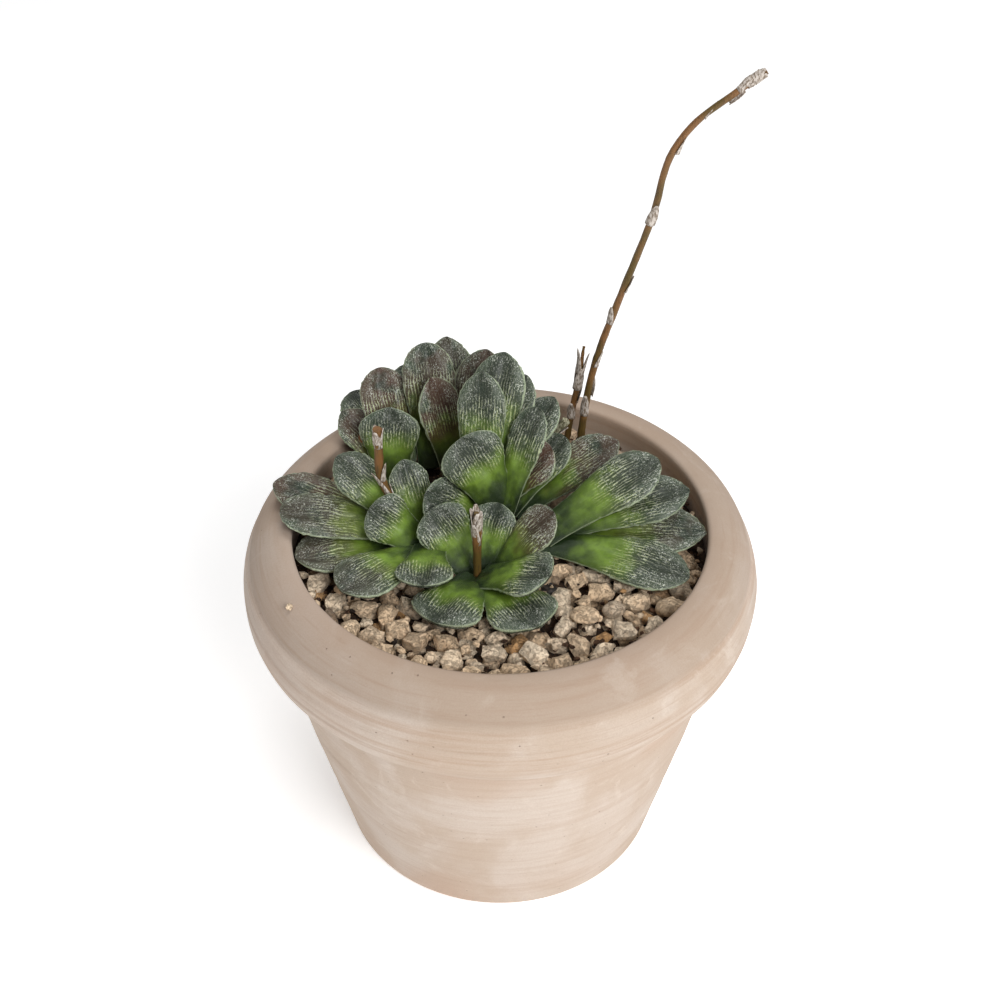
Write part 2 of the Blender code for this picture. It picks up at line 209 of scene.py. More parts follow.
clay, tree, shader = finish("sandy_clay", 0.9)
spot = place(tree)
rings = place(tree, (0.03, 0.03, 1.0))
height = part_of(tree, spot, 2)
patches = grain(tree, spot, 0.028, 4, 0.6, 0.6)
blush = grain(tree, place(tree, shift=(90, 40, 10)), 0.022, 3, 0.5)
bands = grain(tree, rings, 0.55, 3, 0.6)
fine_rings = grain(tree, rings, 3.2, 2, 0.6)
sand = grain(tree, spot, 2.6, 3, 0.7)
bloom = grain(tree, place(tree, shift=(15, 70, 30)), 0.06, 5, 0.65, 1.2)
pits = cells(tree, place(tree, (1, 1, 1.4)), 0.22)
on_collar = between(tree, height, 75.5, 77.5)
banding = times(tree, between(tree, bands, 0.42, 0.7), between(tree, on_collar, 0, 1, 0.25, 0.6))
pitting = times(tree, between(tree, pits, 0.025, 0.07, 1, 0), 0.55)
tone = blend(tree, between(tree, patches, 0.38, 0.62), BUFF, PALE_BUFF)
tone = blend(tree, between(tree, blush, 0.5, 0.72, 0, 0.4), tone, PINK_BUFF)
tone = blend(tree, banding, tone, BAND_BROWN)
tone = blend(tree, between(tree, fine_rings, 0.55, 0.75, 0, 0.25), tone, RING_BROWN)
tone = blend(tree, between(tree, bloom, 0.55, 0.72, 0, 0.55), tone, LIME_BLOOM)
tone = blend(tree, between(tree, sand, 0.3, 0.75, 0, 0.22), tone, SAND_BROWN)
tone = blend(tree, pitting, tone, PIT_BROWN)
# Painted shade: the top of the collar and the inside of the lip, from 97 mm up, are darkened.
tone = blend(tree, between(tree, height, 97, 100.5, 0, 0.5), tone, PAINTED_LIP_SHADE)
plug(tree, shader.inputs["Base Color"], tone)
normal = relief(tree, sand, 0.10, 0.5)
normal = relief(tree, fine_rings, 0.12, 0.45, normal)
normal = relief(tree, bands, 0.3, 0.35, normal)
normal = relief(tree, between(tree, pits, 0.02, 0.07), 0.3, 0.8, normal)
plug(tree, shader.inputs["Normal"], normal)
plug(tree, shader.inputs["Roughness"], between(tree, patches, 0.3, 0.7, 0.82, 0.97))


def ring_wear(height):
    """How far the turning has cut in at a height, in millimetres."""
    broad = noise.noise((height * 0.21, 3.1, 0.7))
    fine = noise.noise((height * 0.9, 7.7, 2.3))
    cut = 0.10 * (broad + 0.5) + 0.07 * (fine + 0.5)
    for level, depth, half in GROOVES:
        cut += depth * math.exp(-((height - level) / half) ** 2)
    return cut


collar = [(COLLAR_MIDDLE + COLLAR_REACH * math.cos(a),
           COLLAR_WIDEST + (COLLAR_RISE if a > 0 else COLLAR_DROP) * math.sin(a))
          for a in np.radians(np.linspace(95, -60, 78))]
body = [(FOOT_RADIUS + (BODY_TOP_RADIUS - FOOT_RADIUS) * h / COLLAR_FOOT, h)
        for h in np.linspace(COLLAR_FOOT - 1.3, 1.0, 96)]
outline = LIP_INSIDE + [(r - ring_wear(h), h) for r, h in collar]
outline += UNDER_COLLAR + [(r - ring_wear(h), h) for r, h in body]
outline += FOOT_EDGE + DRAIN_HOLE + INNER_WALL
steps = [(i, i + 1) for i in range(len(outline) - 1)]
pot_mesh = bpy.data.meshes.new("pot_outline")
pot_mesh.from_pydata([(r * MM, 0, h * MM) for r, h in outline], steps, [])
pot = bpy.data.objects.new("pot_turned", pot_mesh)
bpy.context.scene.collection.objects.link(pot)
only(pot)
bpy.ops.object.mode_set(mode="EDIT")
bpy.ops.mesh.select_all(action="SELECT")
bpy.ops.mesh.spin(steps=POT_STEPS, angle=math.tau, center=(0, 0, 0), axis=(0, 0, 1))
bpy.ops.mesh.select_all(action="SELECT")
bpy.ops.mesh.remove_doubles(threshold=0.00001)
bpy.ops.mesh.normals_make_consistent(inside=False)
bpy.ops.object.mode_set(mode="OBJECT")
for corner in pot.data.vertices:
    x, y, z = corner.co / MM
    radius = math.hypot(x, y)
    if radius > COLLAR_FACE_RADIUS and z > COLLAR_FACE_HEIGHT:
        turn = math.atan2(y, x)
        cut = 0
        for level, depth, half, start in SCRATCHES:
            near = math.exp(-((z - level - 0.35 * math.sin(turn + start)) / half) ** 2)
            patchy = noise.noise((math.cos(turn) * 1.6, math.sin(turn) * 1.6, start))
            cut += depth * near * max(0, min(1, 0.5 + 1.6 * patchy))
        radius -= cut
    if radius > UNEVEN_RADIUS and z > UNEVEN_HEIGHT:
        radius -= UNEVEN_DEPTH * (noise.noise(Vector((x, y, z)) * 0.045) + 0.5)
        corner.co.x *= radius / math.hypot(x, y)
        corner.co.y *= radius / math.hypot(x, y)
pot.data.materials.append(clay)
pot.data.shade_smooth()
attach(pot, "root")
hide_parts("pot")


# ---------------------------------------------------------------- potting soil
# The block of dark peaty soil that fills the pot and shows through the drain hole.
# It is loose and crumbly, with paler bits of bark and grit in it.
BED_RADIUS, BED_BOTTOM, BED_DEPTH = 56.3, 86.4, 8.6
BED_LUMPS = 0.9
PEAT_BLACK, PEAT_BROWN, BARK_TAN = colour(30, 20, 13), colour(78, 56, 38), colour(150, 116, 82)

peat, tree, shader = finish("peaty_soil", 0.95)
spot = place(tree)
crumbs = grain(tree, spot, 0.9, 5, 0.7)
bits = cells(tree, spot, 0.6)
tone = blend(tree, between(tree, crumbs, 0.35, 0.65), PEAT_BLACK, PEAT_BROWN)
tone = blend(tree, between(tree, bits, 0.1, 0.22, 0.7, 0), tone, BARK_TAN)
plug(tree, shader.inputs["Base Color"], tone)
plug(tree, shader.inputs["Normal"], relief(tree, crumbs, 0.9, 0.9))
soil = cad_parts["potting_soil"]
soil.data.materials.clear()
soil.data.materials.append(peat)

# The top of the soil between the stones, lumpy and nearly black where no light gets to it.
nothing_selected()
bpy.ops.mesh.primitive_circle_add(vertices=72, radius=BED_RADIUS * MM, fill_type="TRIFAN")
bed = bpy.context.object
bed.name = "gravel_bed"
bpy.ops.object.mode_set(mode="EDIT")
bpy.ops.mesh.select_all(action="SELECT")
bpy.ops.mesh.subdivide(number_cuts=20)
bpy.ops.mesh.extrude_region_move(TRANSFORM_OT_translate={"value": (0, 0, BED_DEPTH * MM)})
bpy.ops.mesh.select_all(action="SELECT")
bpy.ops.mesh.normals_make_consistent(inside=False)
bpy.ops.object.mode_set(mode="OBJECT")
for corner in bed.data.vertices:
    top = corner.co.z > 1 * MM
    x, y = corner.co.x / MM, corner.co.y / MM
    corner.co.z += BED_BOTTOM * MM
    if top and math.hypot(x, y) < BED_RADIUS - 0.3:
        lumps = noise.noise((x * 0.45, y * 0.45, 1.0)) + 0.5 * noise.noise((x * 1.3, y * 1.3, 5.0))
        corner.co.z += BED_LUMPS * lumps * MM
bed.data.materials.append(peat)
bed.data.shade_smooth()
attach(bed, "root")


# ---------------------------------------------------------------- leaves
# Thick, stiff, water-filled leaves with blunt rounded tips, a hollowed inner face and a keeled
# back. Each grows out of its crown's stem; the skin is bright green below, striped above and
# grey-green at the tip, with a fine toothed edge.
LEAF_SIDES, LEAF_RINGS = 56, 44
# How far up a leaf is widest, how much it arches, and how far its base runs on into the crown.
LEAF_WIDEST = 0.68
LEAF_ARCH = 0.045
LEAF_ROOT = 5.5
# Width and thickness at the base and what they gain higher up, as shares of the full size.
NECK_WIDTH, WIDTH_GAIN = 0.58, 0.42
NECK_THICK, THICK_GAIN = 0.50, 0.50
# Height of the inner face and depth of the keel, as shares of the width.
INNER_FACE, KEEL = 0.125, 0.21
WRINKLE, DIMPLE, ROUGH, TOOTH = 0.42, 0.2, 0.05, 0.12
# A plain leaf has this many sides, which meet in a point at each end, and its widest ring measures
# this share of its width.
PLAIN_SIDES, PLAIN_WIDTH = 8, 0.98
# How brown a leaf is, for those that have browned in the sun.
BROWNED = {
    "leaf_rear_01": 0.35, "leaf_rear_02": 0.6, "leaf_rear_03": 0.9, "leaf_rear_04": 0.7,
    "leaf_rear_07": 0.3, "leaf_far_02": 0.85, "leaf_far_03": 0.7,
    "leaf_mid_06": 0.8, "leaf_mid_09": 1.0, "leaf_mid_11": 0.7,
    "leaf_left_04": 0.75, "leaf_left_05": 0.35, "leaf_left_06": 0.4, "leaf_left_07": 0.25,
    "leaf_front_06": 0.6, "leaf_right_03": 0.35,
}
SLIGHTLY_BROWN = 0.05
# Dried scars: share along the leaf, share across it, size in millimetres.
SCARRED = {"leaf_mid_09": (0.62, 0.25, 2.2), "leaf_far_03": (0.5, 0.1, 1.6)}
NO_SCAR = (0.5, 0, 0.001)


def leaf_lie(name):
    """How a leaf lies: its base, its directions along, across and inwards, its length and width."""
    shell = bmesh.new()
    shell.from_mesh(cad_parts[name].data)
    bmesh.ops.remove_doubles(shell, verts=shell.verts, dist=0.000001)
    base, tip = [np.array(v.co) for v in shell.verts if len(v.link_edges) == PLAIN_SIDES]
    corners = np.array([v.co for v in shell.verts])
    shell.free()
    length = np.linalg.norm(tip - base)
    along = (tip - base) / length
    share = (corners - base) @ along / length
    foot = base + share[:, None] * (tip - base)
    widest = np.argmax(np.linalg.norm(corners - foot, axis=1))
    same_ring = abs(share - share[widest]) < 0.02
    other = np.argmax(np.where(same_ring, np.linalg.norm(corners - corners[widest], axis=1), 0))
    across = corners[widest] - corners[other]
    width = np.linalg.norm(across) / PLAIN_WIDTH
    inwards = (corners[widest] + corners[other]) / 2 - foot[widest]
    if share[widest] < 0.5:
        base, tip, along = tip, base, -along
    across = across - along * (across @ along)
    across /= np.linalg.norm(across)
    if np.cross(along, across) @ inwards < 0:
        across = -across
    return base, np.stack([along, across, np.cross(along, across)]), length, width


def eased(value):
    """Smooth step from 0 to 1."""
    value = np.clip(value, 0, 1)
    return value * value * (3 - 2 * value)


def note_down(mesh, label, values):
    """Keeps three numbers for each corner of a mesh, for its finish to read."""
    notes = mesh.attributes.new(label, "FLOAT_VECTOR", "POINT")
    notes.data.foreach_set("vector", np.asarray(values).astype(np.float32).ravel())


DEEP_GREEN, BRIGHT_GREEN, BACK_GREEN = colour(26, 46, 13), colour(124, 156, 50), colour(24, 40, 18)
END_GREEN, END_EDGE_GREEN, RUST = colour(27, 42, 25), colour(50, 66, 44), colour(80, 46, 30)
STRIPE_CREAM, STRIPE_LIME = colour(218, 224, 188), colour(204, 220, 126)
SPECK_WHITE, FUZZ_GREY = colour(228, 232, 218), colour(164, 174, 156)
RIM_PALE, SCAR_BROWN, SCAR_PALE = colour(200, 214, 178), colour(150, 100, 62), colour(206, 182, 158)

skin, tree, shader = finish("leaf_skin", 0.5)
spot = place(tree, name="leaf_mm")
lie = place(tree, name="leaf_share")
kind = place(tree, name="leaf_kind")
share, edge, face = (part_of(tree, lie, axis) for axis in range(3))
brown, scar = (part_of(tree, kind, axis) for axis in range(2))
drift = grain(tree, spot, 0.22, 2, 0.5)
share = sums(tree, "ADD", share, between(tree, drift, 0.3, 0.7, -0.06, 0.06))
wobble = grain(tree, place(tree, (0.2, 0.3, 0.3), "leaf_mm"), 1.0, 2, 0.5)
waves = sums(tree, "ADD", times(tree, part_of(tree, spot, 1), 7.6), times(tree, wobble, 11.0))
veins = sums(tree, "SINE", waves)
dashes = grain(tree, place(tree, (0.75, 2.6, 0.3), "leaf_mm"), 1.0, 3, 0.75)
cloud = grain(tree, place(tree, (1, 1, 0.4), "leaf_mm", (31, 5, 2)), 0.3, 3, 0.6)
specks = grain(tree, place(tree, (0.8, 1.2, 0.5), "leaf_mm"), 2.6, 4, 0.8)
fuzz = grain(tree, place(tree, (0.9, 1.2, 0.5), "leaf_mm"), 5.4, 2, 0.7)
low = between(tree, share, 0.3, 0.72, 1, 0)
end = between(tree, share, 0.48, 0.86)
middle = times(tree, between(tree, share, 0.32, 0.5), between(tree, share, 0.6, 0.84, 1, 0.1))
inner = between(tree, face, -0.2, 0.25)

# Green from the base up, with painted shade darkening it toward the base deep in the crown, dimmer
# at the margins, brighter in patches, dark at the end and on the back.
green_share_and_base_shade = times(tree, between(tree, share, 0.06, 0.36), between(tree, edge, 0.5, 1.0, 1, 0.4))
green_share_and_base_shade = times(tree, times(tree, green_share_and_base_shade, between(tree, cloud, 0.3, 0.62, 0.62, 1)), low)
end_tone = blend(tree, between(tree, edge, 0.3, 0.95), END_GREEN, END_EDGE_GREEN)
tone = blend(tree, green_share_and_base_shade, DEEP_GREEN, BRIGHT_GREEN)
tone = blend(tree, end, tone, end_tone)
tone = blend(tree, between(tree, inner, 0, 1, 0.65, 0), tone, BACK_GREEN)
rusted = times(tree, brown, between(tree, grain(tree, spot, 0.16, 2, 0.5), 0.32, 0.54))
tone = blend(tree, times(tree, rusted, between(tree, share, 0.14, 0.4, 0, 0.9)), tone, RUST)

# Broken pale stripes along the middle of the inner face.
stripe = times(tree, between(tree, veins, 0.1, 0.9), between(tree, dashes, 0.43, 0.56))
stripe = times(tree, stripe, times(tree, middle, between(tree, inner, 0, 1, 0.25, 0.9)))
stripe = times(tree, stripe, between(tree, cloud, 0.28, 0.55, 0.25, 1))
tone = blend(tree, stripe, tone, blend(tree, low, STRIPE_CREAM, STRIPE_LIME))

# White specks and a grey fuzz toward the end, then the toothed edge and the scars.
speck = times(tree, between(tree, specks, 0.545, 0.61), between(tree, share, 0.3, 0.66, 0.05, 1))
speck = times(tree, speck, between(tree, cloud, 0.36, 0.62, 0.2, 1))
speck = times(tree, speck, between(tree, edge, 0.1, 0.8, 0.55, 1))
tone = blend(tree, speck, tone, SPECK_WHITE)
fuzzy = between(tree, times(tree, end, between(tree, edge, 0.2, 1)), 0, 1, 0.03, 0.34)
tone = blend(tree, times(tree, between(tree, fuzz, 0.5, 0.62), fuzzy), tone, FUZZ_GREY)
rim = times(tree, between(tree, edge, 0.95, 1.0), between(tree, share, 0.15, 0.5, 0.7, 0.85))
rim = times(tree, rim, between(tree, fuzz, 0.36, 0.6, 0.35, 1))
tone = blend(tree, rim, tone, RIM_PALE)
tone = blend(tree, between(tree, scar, 0.25, 0.6), tone, SCAR_BROWN)
tone = blend(tree, between(tree, scar, 0.72, 0.95), tone, SCAR_PALE)
plug(tree, shader.inputs["Base Color"], tone)
normal = relief(tree, stripe, 0.25, 0.6)
normal = relief(tree, specks, 0.3, 0.6, normal)
normal = relief(tree, fuzz, 0.12, 0.5, normal)
plug(tree, shader.inputs["Normal"], normal)
plug(tree, shader.inputs["Roughness"], between(tree, share, 0.2, 0.7, 0.36, 0.58))
shader.inputs["Subsurface Weight"].default_value = 0.06
shader.inputs["Subsurface Radius"].default_value = (0.002, 0.003, 0.001)
shader.inputs["Coat Weight"].default_value = 0.22
shader.inputs["Coat Roughness"].default_value = 0.3

nothing_selected()
bpy.ops.mesh.primitive_uv_sphere_add(segments=LEAF_SIDES, ring_count=LEAF_RINGS, radius=1)
pattern = bpy.context.object
pattern.name = "leaf_pattern"
points = np.array([v.co for v in pattern.data.vertices])
ring_share = (1 - points[:, 2]) / 2
ring_angle = np.arctan2(points[:, 1], points[:, 0])
pole = np.hypot(points[:, 0], points[:, 1]) < 0.001
bpy.ops.object.mode_set(mode="EDIT")
bpy.ops.mesh.select_all(action="SELECT")
bpy.ops.mesh.flip_normals()
bpy.ops.object.mode_set(mode="OBJECT")

leaf_names = sorted(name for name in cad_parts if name.startswith("leaf_"))
leaf_corners = []
leaf_faces = []
for number, name in enumerate(leaf_names):
    chance = np.random.default_rng(100 + number)
    base, axes, length, width = leaf_lie(name)
    blunt = chance.uniform(1.8, 2.3)
    hollow = chance.uniform(0.07, 0.14)
    valley = chance.uniform(-0.25, 0.25)
    sway = chance.uniform(-0.02, 0.02)
    roundness = chance.uniform(0.5, 0.82)
    tip = np.clip((ring_share - LEAF_WIDEST) / (1 - LEAF_WIDEST), 0, 1)
    broad = np.where(ring_share < LEAF_WIDEST,
                     NECK_WIDTH + WIDTH_GAIN * eased(ring_share / LEAF_WIDEST),
                     (1 - tip ** blunt) ** roundness)
    deep = np.where(ring_share < 0.5, NECK_THICK + THICK_GAIN * eased(ring_share * 2),
                    np.sqrt(1 - np.clip(ring_share * 2 - 1, 0, 1) ** 2.2))
    half = width / 2 * broad
    side = np.cos(ring_angle)
    rise = np.sin(ring_angle)
    inner_height = INNER_FACE * width * deep * np.abs(rise) ** 1.15
    channel = hollow * width * np.exp(-((side - valley) / 0.34) ** 2) * np.abs(rise) ** 2
    inner_height -= channel * eased((ring_share - 0.1) / 0.4) * deep
    keel = KEEL * width * deep * np.abs(rise) ** 1.1
    local = np.stack([
        length * ring_share - LEAF_ROOT * MM * (1 - eased(ring_share / 0.3)),
        side * half + sway * width * np.sin(math.pi * ring_share),
        LEAF_ARCH * length * np.sin(math.pi * ring_share) + np.where(rise > 0, inner_height, -keel),
    ], axis=-1)
    local[pole, 1:] = 0
    for index, (x, y, z) in enumerate(local / MM):
        wrinkle = noise.noise((x * 0.12 + number * 9, y * 0.5, 3 + rise[index]))
        dimple = noise.noise((x * 0.45 + number * 5, y * 0.8, z * 0.8 + 7))
        rough = noise.noise((x * 1.7 + number, y * 1.7, z * 1.7))
        edge = abs(side[index]) ** 6
        depth = (WRINKLE * wrinkle + DIMPLE * dimple + ROUGH * rough - 0.16) * MM
        depth *= 0 if pole[index] else 1
        local[index, 2] += depth * (1 if rise[index] > 0 else -1) * (1 - edge)
        tooth = TOOTH * chance.normal() + 0.25 * rough
        local[index, 1] += edge * tooth * MM * np.sign(side[index]) * eased(ring_share[index] * 3)
    world = base + local @ axes
    mesh = pattern.data.copy()
    mesh.name = name + "_grown"
    mesh.vertices.foreach_set("co", world.astype(np.float32).ravel())
    dots = np.stack([local[:, 0] / MM + 40 * number, local[:, 1] / MM + 17 * number, rise * 3],
                    axis=-1)
    shares = np.stack([ring_share, np.abs(side), rise], axis=-1)
    spot_share, spot_side, spot_size = SCARRED.get(name, NO_SCAR)
    from_scar = (local[:, 0] - spot_share * length, local[:, 1] - spot_side * width)
    scars = np.exp(-(np.hypot(*from_scar) / MM / spot_size) ** 2) * (rise > 0)
    browning = np.full(len(local), BROWNED.get(name, SLIGHTLY_BROWN))
    kinds = np.stack([browning, scars, np.zeros(len(local))], axis=-1)
    for label, values in (("leaf_mm", dots), ("leaf_share", shares), ("leaf_kind", kinds)):
        note_down(mesh, label, values)
    mesh.materials.append(skin)
    mesh.shade_smooth()
    mesh.update()
    leaf = bpy.data.objects.new(name + "_grown", mesh)
    bpy.context.scene.collection.objects.link(leaf)
    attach(leaf, "root")
    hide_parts(name)
    leaf_faces += [[v + len(leaf_corners) for v in face.vertices] for face in mesh.polygons]
    leaf_corners += [tuple(point) for point in world]
bpy.data.objects.remove(pattern)
leaf_shell = BVHTree.FromPolygons(leaf_corners, leaf_faces)


# ---------------------------------------------------------------- stems
# The short woody stem in the middle of each crown, ringed with the scars and dry bases of old
# leaves. It stands in the gravel and mostly hides between the leaves.
STEM_RADIUS, STEM_SIDES = 3.1, 28
BARK_DARK, BARK_LIGHT = colour(58, 44, 26), colour(126, 104, 66)

wood, tree, shader = finish("old_stem", 0.8)
fibre = grain(tree, place(tree, (1, 1, 0.25)), 1.6, 4, 0.6)
tone = blend(tree, between(tree, fibre, 0.35, 0.65), BARK_DARK, BARK_LIGHT)
plug(tree, shader.inputs["Base Color"], tone)
plug(tree, shader.inputs["Normal"], relief(tree, fibre, 0.4, 0.8))
for crown in ("rear", "far", "mid", "left", "front", "right"):
    low_corner, high_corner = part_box("stem_" + crown)
    middle_x, middle_y = (low_corner.x + high_corner.x) / 2, (low_corner.y + high_corner.y) / 2
    middle_z, tall = (high_corner.z + low_corner.z) / 2, high_corner.z - low_corner.z
    nothing_selected()
    bpy.ops.mesh.primitive_cylinder_add(vertices=STEM_SIDES, radius=STEM_RADIUS * MM, depth=tall,
                                        location=(middle_x, middle_y, middle_z))
    stem = bpy.context.object
    stem.name = "stem_" + crown + "_ringed"
    bpy.ops.object.transform_apply(location=True)
    bpy.ops.object.mode_set(mode="EDIT")
    bpy.ops.mesh.select_all(action="SELECT")
    bpy.ops.mesh.subdivide(number_cuts=6)
    bpy.ops.object.mode_set(mode="OBJECT")
    for corner in stem.data.vertices:
        x, y, z = (corner.co - Vector((middle_x, middle_y, 0))) / MM
        knobbly = noise.noise((x, y, z * 2.2 + middle_x * 900))
        ringed = math.sin(z * 4.2) > 0.3
        taper = 1 - 0.12 * (z - low_corner.z / MM) / 10 + 0.05 * knobbly
        taper -= 0.05 * ringed
        corner.co.x = middle_x + x * min(taper, 1) * MM
        corner.co.y = middle_y + y * min(taper, 1) * MM
    stem.data.materials.append(wood)
    stem.data.shade_smooth()
    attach(stem, "root")
    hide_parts("stem_" + crown)


# ---------------------------------------------------------------- gravel
# Loose tan pumice and broken clay, 2 to 9 mm across, spread over the soil up to the pot's wall.
# The stones lie on one another with dark gaps, and those under a leaf lie a little lower.
COARSE_SHAPES, FINE_SHAPES = 14, 6
# A stone with a half size over this is a coarse one.
COARSE_FROM = 1.6
CHIPS = 14
SMOOTH_UNDER = 38
# Width and height of a stone as shares of its length, and how far it leans.
STONE_WIDTHS, STONE_HEIGHT, STONE_LEAN = (0.68, 0.95), 0.72, 0.35
# How often a place is tried for each stone.
TRIES = 40
# Room that a leaf leaves over a stone, and the lowest middle that a stone may have.
UNDER_LEAF, LOWEST_STONE = 0.25, 89
# Leaves over a stone are looked for from this height up, over this reach.
LOOK_FROM, LOOK_REACH, OPEN_SKY = 90, 30, 200
STEM_ROOM, PEBBLE_ROOM = 8.5, 3.4
GRAVEL_RADIUS = 56.0
CREAM_TAN, PALE_TAN, GREY_TAN, ORANGE_TAN = (
    colour(236, 206, 170), colour(250, 229, 200), colour(168, 146, 124), colour(206, 160, 108))
MOTTLE_BROWN, MOTTLE_PALE, SHADE_BROWN = (
    colour(170, 134, 98), colour(232, 212, 184), colour(92, 70, 52))
CRACK_BROWN, PORE_BROWN, GRIT_BROWN = (
    colour(104, 76, 52), colour(110, 80, 56), colour(110, 82, 58))
CRUMB_BLACK, CRUMB_BROWN = colour(44, 30, 20), colour(96, 66, 42)

stone, tree, shader = finish("tan_stone", 0.92)
spot = place(tree)
kind = place(tree, name="stone_kind")
hue, light, dark = (part_of(tree, kind, axis) for axis in range(3))
mottle = grain(tree, spot, 0.55, 4, 0.65)
cracks = grain(tree, spot, 0.75, 6, 0.8, 0.9)
pores = cells(tree, spot, 1.7)
grit = grain(tree, spot, 2.4, 3, 0.7)
tone = blend(tree, between(tree, hue, 0.15, 0.85), CREAM_TAN, PALE_TAN)
tone = blend(tree, between(tree, hue, 0.86, 0.9), tone, GREY_TAN)
tone = blend(tree, between(tree, hue, 0.94, 0.97), tone, ORANGE_TAN)
tone = blend(tree, between(tree, mottle, 0.48, 0.66, 0, 0.38), tone, MOTTLE_BROWN)
tone = blend(tree, between(tree, mottle, 0.3, 0.42, 0.45, 0), tone, MOTTLE_PALE)
tone = blend(tree, between(tree, cracks, 0.33, 0.42, 0.6, 0), tone, CRACK_BROWN)
tone = blend(tree, between(tree, pores, 0.07, 0.18, 0.4, 0), tone, PORE_BROWN)
tone = blend(tree, between(tree, grit, 0.58, 0.72, 0, 0.28), tone, GRIT_BROWN)
tone = blend(tree, between(tree, light, 0, 1, 0.2, 0), tone, SHADE_BROWN)
tone = blend(tree, dark, tone, blend(tree, hue, CRUMB_BLACK, CRUMB_BROWN))
plug(tree, shader.inputs["Base Color"], tone)
normal = relief(tree, between(tree, pores, 0.06, 0.3), 0.3, 0.8)
normal = relief(tree, between(tree, cracks, 0.32, 0.52), 0.9, 0.9, normal)
normal = relief(tree, mottle, 0.8, 0.6, normal)
normal = relief(tree, grit, 0.2, 0.6, normal)
plug(tree, shader.inputs["Normal"], normal)

chance = np.random.default_rng(11)
shapes = []
for number in range(COARSE_SHAPES + FINE_SHAPES):
    nothing_selected()
    bpy.ops.mesh.primitive_ico_sphere_add(subdivisions=2 if number < COARSE_SHAPES else 1, radius=1)
    shape = bpy.context.object
    form = np.array([v.co for v in shape.data.vertices])
    for chip in range(CHIPS):
        away = chance.normal(size=3)
        away /= np.linalg.norm(away)
        over = form @ away - chance.uniform(0.46, 0.76)
        form -= np.clip(over, 0, None)[:, None] * away * 0.9
    form *= 1 + 0.085 * chance.normal(size=(len(form), 1))
    form /= np.abs(form).max(axis=0)
    shapes.append((form, np.array([face.vertices for face in shape.data.polygons])))
    bpy.data.objects.remove(shape)

stone_points = []
stone_faces = []
stone_kinds = []


def turned(form, axis, angle):
    """A form turned about its x axis (0) or its z axis (2)."""
    cos, sin = math.cos(angle), math.sin(angle)
    if axis == 0:
        return form @ np.array([[1, 0, 0], [0, cos, -sin], [0, sin, cos]])
    return form @ np.array([[cos, -sin, 0], [sin, cos, 0], [0, 0, 1]])


def roof_over(x, y, size):
    """Height of the lowest leaf over a stone, or far above the plant where there is none."""
    roof = OPEN_SKY
    around = [(math.cos(turn) * size * 0.9, math.sin(turn) * size * 0.9)
              for turn in np.linspace(0, math.tau, 9)]
    for dx, dy in [(0, 0)] + around:
        start = Vector(((x + dx) * MM, (y + dy) * MM, LOOK_FROM * MM))
        hit = leaf_shell.ray_cast(start, Vector((0, 0, 1)), LOOK_REACH * MM)[0]
        if hit:
            roof = min(roof, hit.z / MM)
    return roof


def lay_stone(x, y, size, middle, kind):
    """Lays one stone of a half size with its middle at a height, lower where a leaf is over it."""
    if size > COARSE_FROM:
        form, sides = shapes[chance.integers(COARSE_SHAPES)]
    else:
        form, sides = shapes[COARSE_SHAPES + chance.integers(FINE_SHAPES)]
    form = form * [size, size * chance.uniform(*STONE_WIDTHS), size * STONE_HEIGHT]
    turn, tip_over = chance.uniform(0, math.tau), chance.normal() * STONE_LEAN
    form = turned(turned(form, 0, tip_over), 2, turn)
    middle = min(middle, roof_over(x, y, size) - form[:, 2].max() - UNDER_LEAF)
    if middle > LOWEST_STONE:
        stone_faces.extend((sides + len(stone_points)).tolist())
        stone_points.extend(form + [x, y, middle])
        stone_kinds.extend([kind] * len(form))


def scatter(count, sizes, near, middle, spread, room=0.86, dark=0.0):
    """Strews stones of random half sizes where they have room among those already down."""
    for size in sorted(chance.uniform(*sizes, count), reverse=True):
        for attempt in range(TRIES):
            far = (GRAVEL_RADIUS - size * 0.92) * math.sqrt(chance.random())
            turn = chance.uniform(0, math.tau)
            x, y = far * math.cos(turn), far * math.sin(turn)
            if all(math.hypot(x - px, y - py) > room * (size + other) for px, py, other in near):
                near.append((x, y, size))
                high = middle + chance.normal() * spread
                lay_stone(x, y, size, high, (chance.random(), chance.random(), dark))
                break


def middle_of(name):
    """The middle of a plain piece, in millimetres."""
    low_corner, high_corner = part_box(name)
    return (low_corner + high_corner) / 2 / MM


crowded = [(*middle_of(name).xy, STEM_ROOM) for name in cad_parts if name.startswith("stem_")]
pebbles = [(*middle_of(name).xy, PEBBLE_ROOM) for name in ("pebble_flat_oval", "pebble_speckled")]
topmost = crowded + pebbles
# A lower layer, an upper one with small stones between, and dark crumbs of soil in the gaps.
scatter(420, (1.9, 3.6), crowded, 95.4, 0.5)
scatter(470, (1.9, 4.3), topmost, 97.9, 0.6, 0.82)
scatter(190, (0.8, 1.7), topmost, 98.7, 0.5, 0.8)
scatter(700, (0.5, 1.2), [], 97.4, 0.5, 0.7, dark=1.0)
# One crumb of stone that has been left on the pot's rim.
lay_stone(-53.4, -32.7, 1.1, 106.1, (0.5, 1, 0))
gravel_mesh = bpy.data.meshes.new("gravel_stones")
gravel_mesh.from_pydata((np.array(stone_points) * MM).tolist(), [], stone_faces)
note_down(gravel_mesh, "stone_kind", stone_kinds)
gravel = bpy.data.objects.new("gravel_stones", gravel_mesh)
bpy.context.scene.collection.objects.link(gravel)
gravel_mesh.materials.append(stone)
only(gravel)
bpy.ops.object.shade_smooth_by_angle(angle=math.radians(SMOOTH_UNDER))
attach(gravel, "root")
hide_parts("gravel_layer")


# ---------------------------------------------------------------- two larger pebbles
# A worn flat oval pebble and a rounder speckled one that lie loose on the gravel at the front.
# Each has its shade, as a share of the way through the gravel's shades, and its paleness.
PEBBLES = {"pebble_flat_oval": (0.3, 0.75), "pebble_speckled": (0.88, 0.1)}


